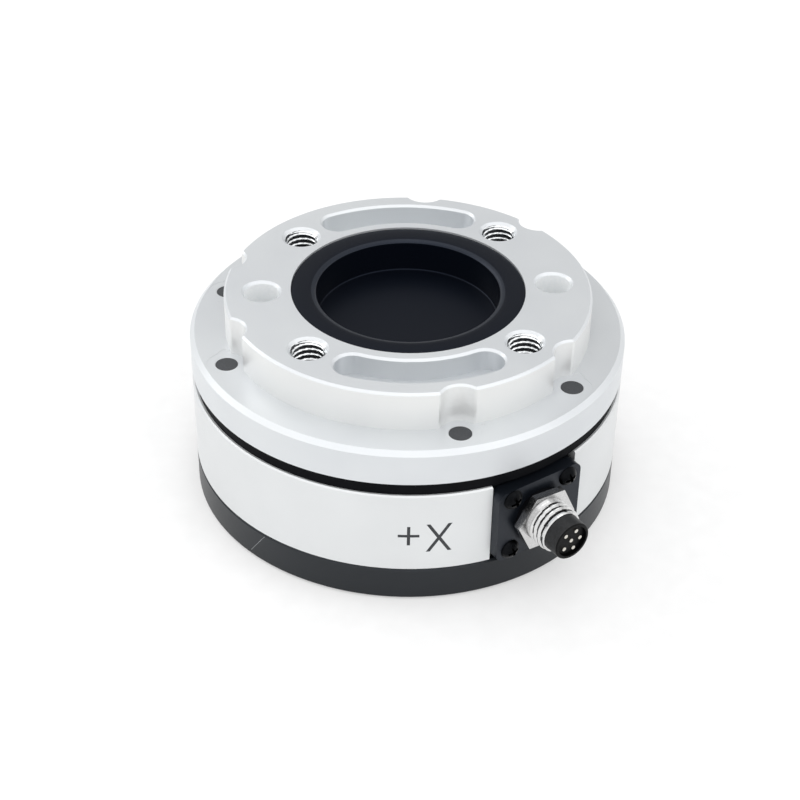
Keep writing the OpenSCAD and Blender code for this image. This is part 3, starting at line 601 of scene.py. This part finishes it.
# Threaded barrel of the connector: M8 x 1 between a relief at the panel nut and a plain end ring
M8_PITCH = 1.0
M8_R = MOUNTS["connector_thread"]["dims"]["r_mm"]
M8_ROOT_R = 3.55
RELIEF_R = 3.8
RELIEF_LENGTH = 0.6
THREAD_RUNOUT = 0.2
END_RING = 0.55
RING_BEVEL = 0.05
END_BEVEL = 0.2
COLLAR_R = 5.2
COLLAR_THICKNESS = 1.4
CARRIER_R = 3.4
CARRIER_GAP = 0.05


def threaded_barrel():
    """Plated barrel with its inner collar behind the plate, its thread and its end ring."""
    rear, front = (distance / MM for distance in reach("connector_shell", OUTWARD))
    nut_front = reach("panel_nut", OUTWARD)[1] / MM
    collar_front = reach("connector_plate", OUTWARD)[0] / MM
    collar_back = collar_front - COLLAR_THICKNESS
    bore_r = CARRIER_R + CARRIER_GAP
    thread_start = nut_front + RELIEF_LENGTH
    ring_back = front - END_RING
    thread_end = ring_back - THREAD_RUNOUT

    def turn(distance):
        return lambda angle: M8_ROOT_R + (M8_R - M8_ROOT_R) * thread_wave(distance, angle, M8_PITCH)

    steps = int((thread_end - thread_start) / M8_PITCH * TURN_STEPS)
    profile = [(rear, bore_r), (rear, M8_R), (collar_back, M8_R), (collar_back, COLLAR_R),
               (collar_front, COLLAR_R), (collar_front, M8_R), (nut_front, M8_R),
               (nut_front, RELIEF_R), (thread_start, RELIEF_R)]
    for i in range(steps + 1):
        distance = thread_start + (thread_end - thread_start) * i / steps
        profile.append((distance, turn(distance)))
    profile += [(thread_end, M8_ROOT_R), (ring_back, M8_ROOT_R),
                (ring_back, RELIEF_R - RING_BEVEL), (ring_back + RING_BEVEL, RELIEF_R),
                (front - END_BEVEL, RELIEF_R), (front, RELIEF_R - END_BEVEL), (front, bore_r)]
    place = connector_place()
    mesh = rings_to_mesh("threaded_barrel", turned_rings(profile, 128, place), True)
    # Painted shade: faces near the thread's root take a dark second finish
    mark_faces(mesh, place, lambda distance, radius: thread_start - 0.02 < distance < ring_back
               and radius < M8_ROOT_R + 0.1)
    return finish_piece("threaded_barrel", mesh, "nickel", ["connector_shell"],
                        [FINISHES["nickel"], shaded_thread_root("nickel_root_painted_shade", "#1b1b1b", "#303030")])


threaded_barrel()


def contact_carrier():
    """Moulded carrier with a rounded front edge and the recess that holds the contacts; its front
    face and recess carry painted shade.
    """
    rear, front = (distance / MM for distance in reach("contact_carrier", OUTWARD))
    edge = 0.3
    bevel = 0.06
    recess_depth = 0.6
    mouth_r = CARRIER_R - 0.5
    place = connector_place()
    profile = [(rear, CARRIER_R)] + arc(front - edge, CARRIER_R - edge, edge, edge, 0, 90)
    profile += [(front, mouth_r), (front - bevel, mouth_r - bevel),
                (front - recess_depth, mouth_r - bevel)]
    mesh = rings_to_mesh("carrier_body", turned_rings(profile, 96, place), False)
    # Painted shade: the front face and the recess get a darker black than the carrier's side
    mark_faces(mesh, place, lambda distance, radius: distance > front - edge / 2
               or radius < mouth_r and distance > front - recess_depth - 0.05)
    face = moulded_black("black_face_painted_shade", "#030304", "#060607", 0.4, sheen=0.12)
    return finish_piece("carrier_body", mesh, "carrier_black", ["contact_carrier"],
                        [FINISHES["carrier_black"], face])


contact_carrier()


# Pilot cup: a rounded lip leads into the bore, and a small fillet joins its wall and floor
LIP_WIDTH = 1.6
LIP_DEPTH = 0.5
LIP_FOOT = 0.1
RIM_EDGE = 0.08
RIM_THICKNESS = 3
GROOVE_CLEARANCE = 0.1
PILOT_DEPTH = 6.2
FLOOR_FILLET = 0.3


def pilot_cup():
    """Turned cup with its seal groove, its rim, the lip's polished inner half with a painted
    highlight, and the floor.
    """
    low, rim = (corner.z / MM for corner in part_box("pilot_cup"))
    seal_low, seal_top = (corner.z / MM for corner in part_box("cup_seal"))
    rim_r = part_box("pilot_cup")[1].x / MM
    body_r = radius_at("pilot_cup", low * MM) / MM
    bore_r = MOUNTS["tool_pilot"]["dims"]["r_mm"]
    seat = rim - RIM_THICKNESS
    floor = tool_face / MM - PILOT_DEPTH
    groove_r = body_r - (seal_top - seal_low)
    groove_low = seal_low - GROOVE_CLEARANCE
    groove_top = seal_top + GROOVE_CLEARANCE
    profile = [(low, body_r), (groove_low, body_r), (groove_low, groove_r),
               (groove_top, groove_r), (groove_top, body_r), (seat, body_r), (seat, rim_r)]
    profile += arc(rim - RIM_EDGE, rim_r - RIM_EDGE, RIM_EDGE, RIM_EDGE, 0, 90, 4)
    profile += arc(rim - LIP_DEPTH, bore_r + LIP_WIDTH, LIP_DEPTH, LIP_WIDTH, 90, 160, 12)
    profile += [(profile[-1][0] - LIP_FOOT, bore_r)]
    profile += arc(floor + FLOOR_FILLET, bore_r - FLOOR_FILLET, FLOOR_FILLET, FLOOR_FILLET, 0, -90)
    mesh = rings_to_mesh("cup_body", turned_rings(profile, 160, Matrix.Identity(4)), False)
    # The lip's inner half is glossier, and its lighter black is a painted highlight
    mark_faces(mesh, Matrix.Identity(4), lambda height, radius: height > rim - LIP_DEPTH
               and bore_r < radius < bore_r + LIP_WIDTH / 2)
    polish_and_highlight = moulded_black("polished_lip_painted_highlight", "#1b1e24", "#20242b", 0.34,
                             sheen=0.26, cast="#c9d6f4")
    return finish_piece("cup_body", mesh, "cup_black", ["pilot_cup"],
                        [FINISHES["cup_black"], polish_and_highlight])


pilot_cup()


# Marks on the sensor's side are thin plates a hair above its skin. DEGREE is the length of one
# degree along that skin, in mm.
MARK_LIFT = 0.012
MARK_SINK = 0.03
DEGREE = body_radius / MM * math.pi / 180


def on_housing(turn_mm, height_mm, lift_mm):
    """Point on the housing's skin, from an arc length off +X and a height."""
    radius = body_radius / MM + lift_mm
    angle = turn_mm / (body_radius / MM)
    return Vector((radius * math.cos(angle), radius * math.sin(angle), height_mm)) * MM


def patch(corners, steps=10):
    """Thin curved plate on the housing between four corners, as rings of four points."""
    a, b, c, d = (Vector(corner) for corner in corners)
    rings = []
    for i in range(steps + 1):
        left, right = a.lerp(d, i / steps), b.lerp(c, i / steps)
        rings.append([on_housing(left.x, left.y, MARK_LIFT),
                      on_housing(left.x, left.y, -MARK_SINK),
                      on_housing(right.x, right.y, -MARK_SINK),
                      on_housing(right.x, right.y, MARK_LIFT)])
    return rings


def marked_skin(name, strokes, slot, finish):
    """Puts a group of curved plates on the housing as one piece."""
    parts = [rings_to_mesh(name + "_part", patch(corners), False) for corners in strokes]
    return finish_piece(name, merged(name, parts), slot, finishes=[finish])


def axis_mark():
    """A plus and an X on the housing, which show where the sensor's +X axis comes out."""
    stroke = 0.52
    # Middle of the plus, and half its width, height and stroke
    x, z = -3.95 * DEGREE, 13.65
    w, h, s = 3.5 / 2, 3.85 / 2, stroke / 2
    plus = [[(x - w, z + s), (x - w, z - s), (x + w, z - s), (x + w, z + s)],
            [(x - s, z + s), (x + s, z + s), (x + s, z + h), (x - s, z + h)],
            [(x - s, z - h), (x + s, z - h), (x + s, z - s), (x - s, z - s)]]
    # Edges of the X, and the width of its slanted strokes along the top and bottom
    left, right, low, high = 0.4 * DEGREE, 6.85 * DEGREE, 10.3, 16.0
    wide = stroke * 1.22
    middle = (left + right) / 2
    centre = (low + high) / 2
    slope = (right - left - wide) / (high - low)
    half_gap = wide / slope / 2
    cross = [[(left, high), (left + wide, high), (right, low), (right - wide, low)],
             [(right - wide, high), (right, high), (middle + wide / 2, centre),
              (middle, centre + half_gap)],
             [(middle, centre - half_gap), (middle - wide / 2, centre), (left, low),
              (left + wide, low)]]
    return marked_skin("axis_mark", plus + cross, "plug_grey", marking_ink())


def reflection_streak():
    """Painted reflection: a fine slanted pale streak on the base's dark finish, left of the axis
    mark.
    """
    top_x, top_z = -43.6 * DEGREE, 6.0
    low_x, low_z = -48.8 * DEGREE, 1.2
    width = 0.05
    line = [(low_x, low_z), (low_x + width, low_z), (top_x + width, top_z), (top_x, top_z)]
    return marked_skin("reflection_streak", [line], "base_dark", FINISHES["element_aluminium"])


axis_mark()
reflection_streak()


# ------------------------------------------------------------------ floor, light and camera

FLOOR_HALF = 2.5
FLOOR_DROP = 0.02 * MM
# Brightness of the room by how far a direction leans towards its bright side
ROOM_ENDS = (0.4, 1.14)
ROOM_BETWEEN = ((0.12, 0.43), (0.5, 1.09))


def studio():
    """White floor, and a room that is bright above and behind the camera."""
    mesh = bpy.data.meshes.new("floor")
    corners = [(sx * FLOOR_HALF, sy * FLOOR_HALF)
               for sx, sy in ((-1, -1), (1, -1), (1, 1), (-1, 1))]
    level = cad_bounds[0].z - FLOOR_DROP
    mesh.from_pydata([(x, y, level) for x, y in corners], [], [(0, 1, 2, 3)])
    mesh.materials.append(studio_floor())
    floor = bpy.data.objects.new("floor", mesh)
    bpy.context.scene.collection.objects.link(floor)

    world = bpy.data.worlds.new("studio")
    bpy.context.scene.world = world
    world.use_nodes = True
    # The room is bright above and behind the camera and along the floor's edge, all round, and
    # falls off towards the far wall
    tree = world.node_tree
    where = add(tree, "ShaderNodeTexCoord")
    towards = add(tree, "ShaderNodeVectorMath", {1: (0.5, 0.0, 0.866)},
                  {0: where.outputs["Generated"]}, operation="DOT_PRODUCT")
    room = add(tree, "ShaderNodeValToRGB", links={"Fac": towards.outputs["Value"]})
    for stop, level in enumerate(ROOM_ENDS):
        room.color_ramp.elements[stop].color = (level, level, level, 1)
    for position, level in ROOM_BETWEEN:
        room.color_ramp.elements.new(position).color = (level, level, level, 1)
    height = add(tree, "ShaderNodeSeparateXYZ", links={"Vector": where.outputs["Generated"]})
    horizon = add(tree, "ShaderNodeMapRange",
                  {"From Min": 0.17, "From Max": 0.3, "To Min": 0.88, "To Max": 0.0},
                  {"Value": height.outputs["Z"]})
    brightness = add(tree, "ShaderNodeMath", operation="MAXIMUM",
                     links={0: room.outputs["Color"], 1: horizon.outputs["Result"]})
    background = tree.nodes["Background"]
    background.inputs["Color"].default_value = (1, 1, 1, 1)
    tree.links.new(brightness.outputs["Value"], background.inputs["Strength"])


LIGHT_AIM = (0, 0, 0.02)
# Name, place, width, height and brightness of each softbox
SOFTBOXES = (
    ("front_softbox", (0.45, 0.0, 0.66), 0.6, 0.3, 0.7),
    ("front_left_softbox", (0.28, -0.49, 0.58), 0.5, 0.3, 0.7),
    ("front_right_softbox", (0.28, 0.49, 0.58), 0.5, 0.3, 0.85),
    ("left_softbox", (-0.25, -0.75, 0.40), 0.5, 0.3, 1.05),
    ("right_softbox", (-0.25, 0.75, 0.40), 0.5, 0.3, 0.9),
    ("far_left_softbox", (-0.48, -0.48, 0.5), 0.7, 0.35, 1.8),
    ("overhead_strip", (-0.12, 0.0, 0.8), 0.2, 0.8, 0.9),
)


def softbox(name, place, width, height, radiance):
    """Area light seen as an even white panel of a given brightness."""
    light = bpy.data.lights.new(name, "AREA")
    light.shape = "RECTANGLE"
    light.size = width
    light.size_y = height
    light.energy = radiance * math.pi * width * height
    lamp = bpy.data.objects.new(name, light)
    lamp.location = place
    lamp.rotation_euler = (Vector(LIGHT_AIM) - Vector(place)).to_track_quat("-Z", "Y").to_euler()
    bpy.context.scene.collection.objects.link(lamp)


studio()
for lamp_settings in SOFTBOXES:
    softbox(*lamp_settings)

# The camera looks down at the sensor from the connector's side: angles in degrees, lengths in mm
CAMERA_AZIMUTH = 85.05
CAMERA_ELEVATION = 35.97
CAMERA_ROLL = 0.945
CAMERA_DISTANCE = 291.15
CAMERA_LENS = 76.8
AIM_POINT = Vector((11.23, -2.06, 21.76))


def camera():
    """Camera on a sphere round its aim point, by azimuth, elevation and roll."""
    azimuth, elevation = math.radians(CAMERA_AZIMUTH), math.radians(CAMERA_ELEVATION)
    back = Vector((math.sin(azimuth) * math.cos(elevation),
                   -math.cos(azimuth) * math.cos(elevation), math.sin(elevation)))
    lens = bpy.data.cameras.new("camera")
    lens.lens = CAMERA_LENS
    lens.sensor_width = 36
    lens.clip_start, lens.clip_end = 0.01, 20
    made = bpy.data.objects.new("camera", lens)
    made.location = (AIM_POINT + back * CAMERA_DISTANCE) * MM
    level = (-back).to_track_quat("-Z", "Y")
    roll = Matrix.Rotation(math.radians(CAMERA_ROLL), 4, "Z").to_quaternion()
    made.rotation_mode = "QUATERNION"
    made.rotation_quaternion = level @ roll
    bpy.context.scene.collection.objects.link(made)
    bpy.context.scene.camera = made


camera()
bpy.context.scene.view_settings.view_transform = "Standard"
